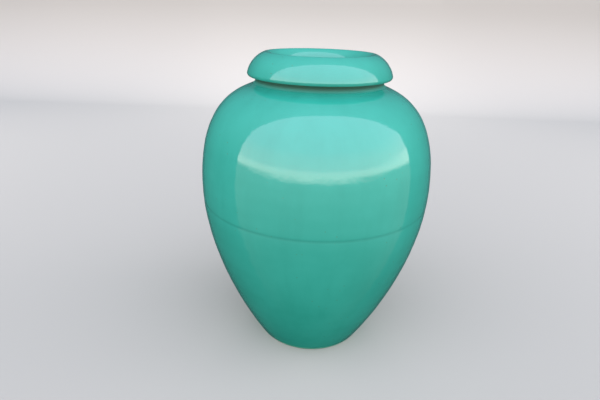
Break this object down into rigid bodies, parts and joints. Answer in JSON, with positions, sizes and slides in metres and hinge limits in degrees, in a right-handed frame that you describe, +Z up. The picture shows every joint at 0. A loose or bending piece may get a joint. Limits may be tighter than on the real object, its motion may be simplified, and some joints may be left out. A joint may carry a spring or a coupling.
{
  "type": "oil jar vase",
  "caption": "Open-mouthed glazed jar with a broad shoulder, tapering flank and thick rolled rim; stands alone or holds branches, stems or umbrellas.",
  "frame": {"origin": "centre of the foot ring, on the ground", "axes": "+Z up along the jar's axis of revolution; X and Y are equivalent"},
  "size_m": [0.3104, 0.3104, 0.406],
  "materials": {
    "turquoise_glaze": "high-gloss turquoise-green glaze, a little paler where it is thin on edges",
    "foot_glaze": "the same glaze, thinner and paler on the foot's outer edge; bare buff clay on the face it stands on"
  },
  "bodies": {
    "root": {"foot_ring": "foot_glaze", "lower_body": "turquoise_glaze", "upper_body": "turquoise_glaze", "rolled_rim": "turquoise_glaze"}
  },
  "joints": []
}
